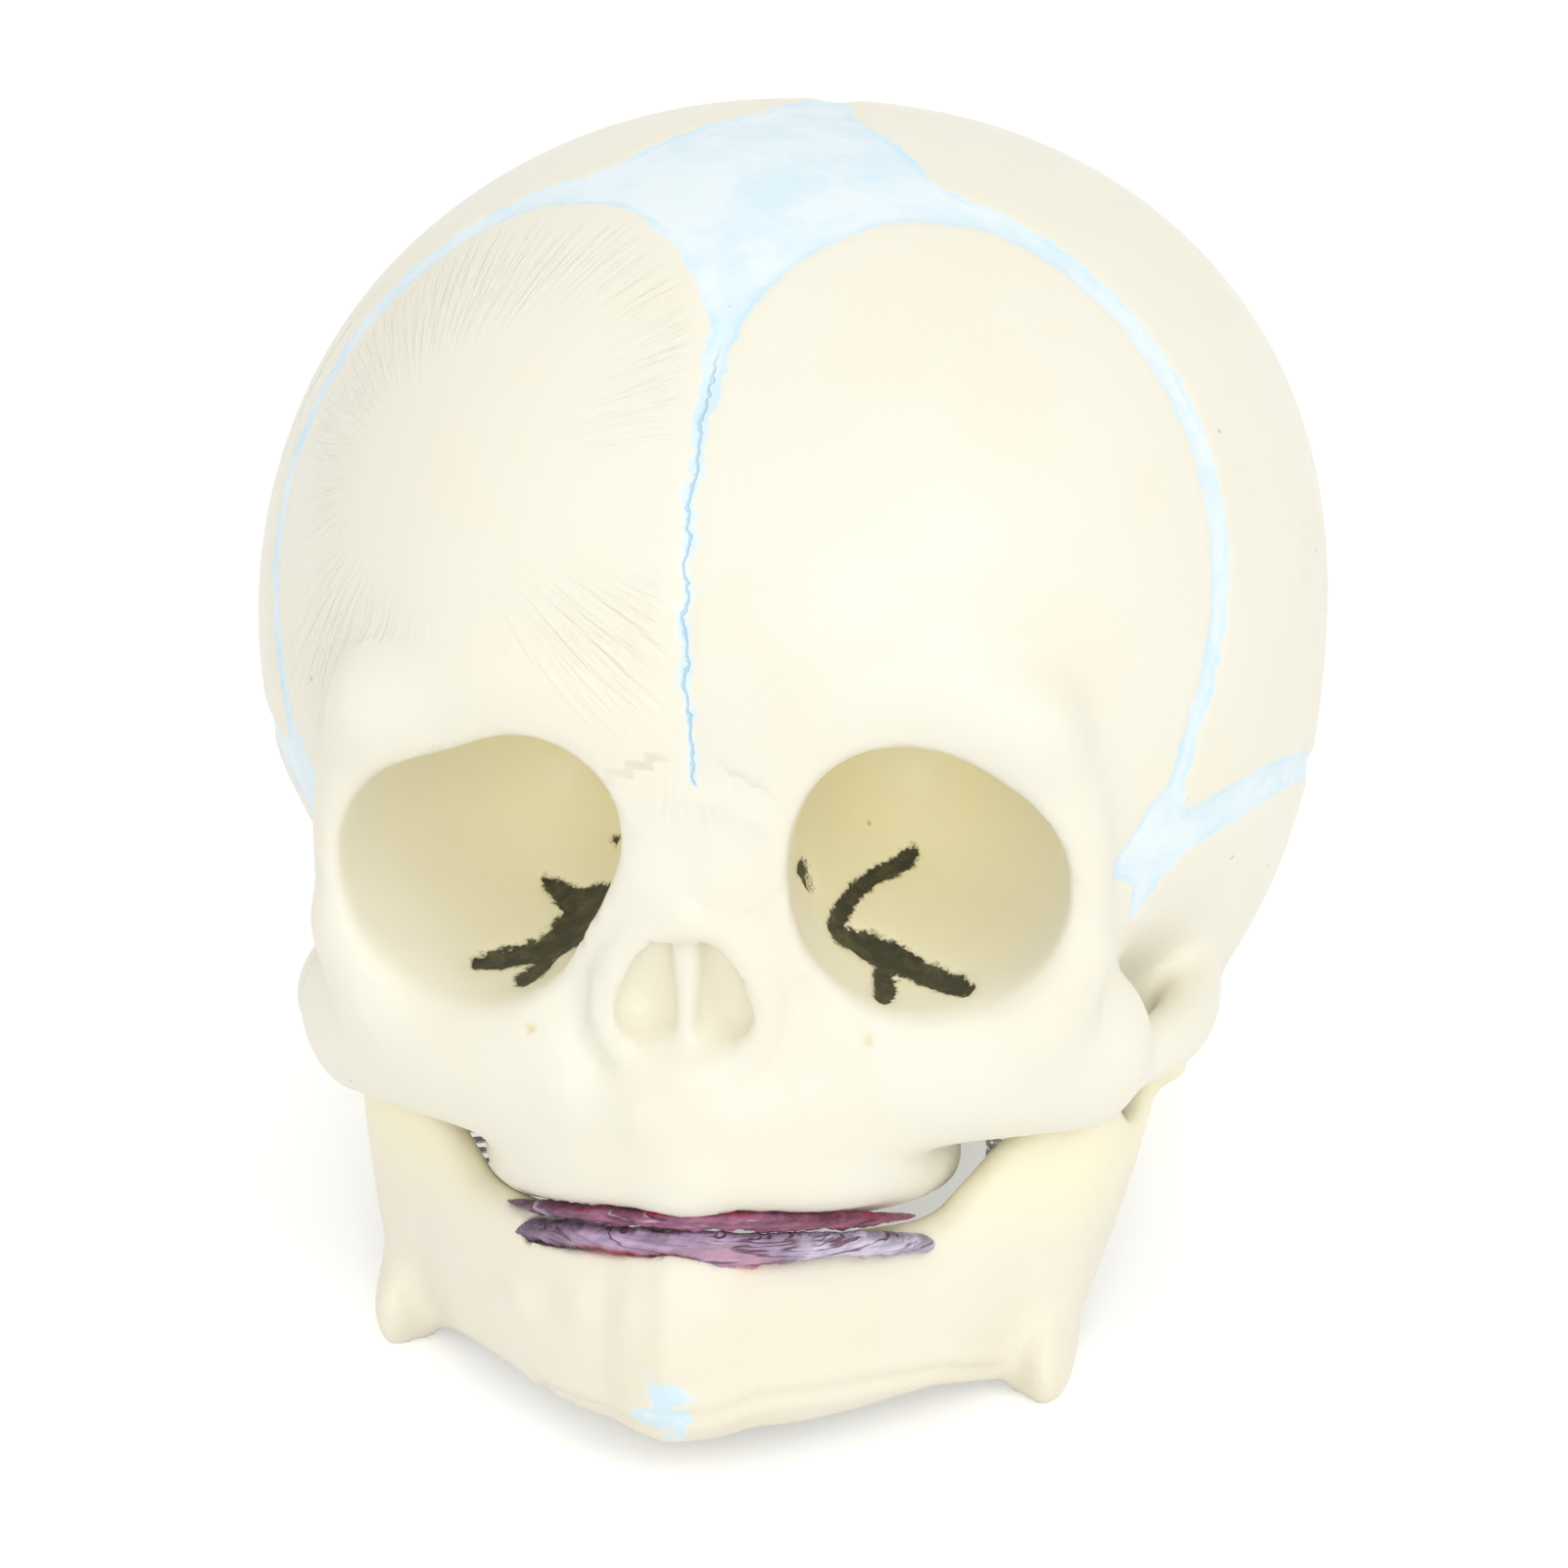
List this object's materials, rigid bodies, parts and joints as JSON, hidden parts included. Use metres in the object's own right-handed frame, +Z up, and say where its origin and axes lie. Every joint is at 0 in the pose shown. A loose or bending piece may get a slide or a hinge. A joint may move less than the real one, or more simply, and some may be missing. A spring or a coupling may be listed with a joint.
{
  "type": "anatomical skull model",
  "caption": "Life-size newborn skull teaching model with fontanelles, sutured bones, gums and a sprung lower jaw that opens.",
  "frame": {"origin": "on the table under the middle of the model's box, at rest on the back of the head and the angles of the jaw", "axes": "+Z up from the table, -Y towards the face, +X towards the skull's own left"},
  "size_m": [0.0936, 0.1184, 0.098],
  "materials": {
    "ivory_plastic": "waxy satin, ivory",
    "cream_plastic": "waxy satin, cream",
    "pale_blue_plastic": "satin, pale blue",
    "mauve_plastic": "satin, purple-red",
    "bright_steel": "bright drawn wire"
  },
  "bodies": {
    "cranium": {"frontal_bone_left": "ivory_plastic", "frontal_bone_right": "ivory_plastic", "parietal_bone_left": "ivory_plastic", "parietal_bone_right": "ivory_plastic", "occipital_squama": "ivory_plastic", "occipital_lateral_left": "ivory_plastic", "occipital_lateral_right": "ivory_plastic", "occipital_basilar": "ivory_plastic", "sphenoid_bone": "ivory_plastic", "temporal_bone_left": "ivory_plastic", "temporal_bone_right": "ivory_plastic", "zygomatic_bone_left": "ivory_plastic", "zygomatic_bone_right": "ivory_plastic", "maxilla_left": "ivory_plastic", "maxilla_right": "ivory_plastic", "nasal_bone_left": "ivory_plastic", "nasal_bone_right": "ivory_plastic", "nasal_septum": "ivory_plastic", "anterior_fontanelle": "pale_blue_plastic", "posterior_fontanelle": "pale_blue_plastic", "sphenoidal_fontanelle_left": "pale_blue_plastic", "sphenoidal_fontanelle_right": "pale_blue_plastic", "mastoid_fontanelle_left": "pale_blue_plastic", "mastoid_fontanelle_right": "pale_blue_plastic", "upper_gum": "mauve_plastic", "upper_spring_pin_left": "bright_steel", "upper_spring_pin_right": "bright_steel", "jaw_spring_left": "bright_steel", "jaw_spring_right": "bright_steel"},
    "lower_jaw": {"mandible_left": "cream_plastic", "mandible_right": "cream_plastic", "mandibular_symphysis": "cream_plastic", "lower_gum": "mauve_plastic", "lower_spring_pin_left": "bright_steel", "lower_spring_pin_right": "bright_steel"}
  },
  "joints": [
    {"name": "jaw_hinge", "type": "hinge", "parent": "cranium", "child": "lower_jaw", "pos_m": [-0.00001, -0.01715, 0.0198], "axis": [1, 0, 0], "range_deg": [0, 20], "stiffness_Nm_per_rad": 0.05, "springref_deg": -22.92, "deforming": ["jaw_spring_left", "jaw_spring_right"]}
  ]
}
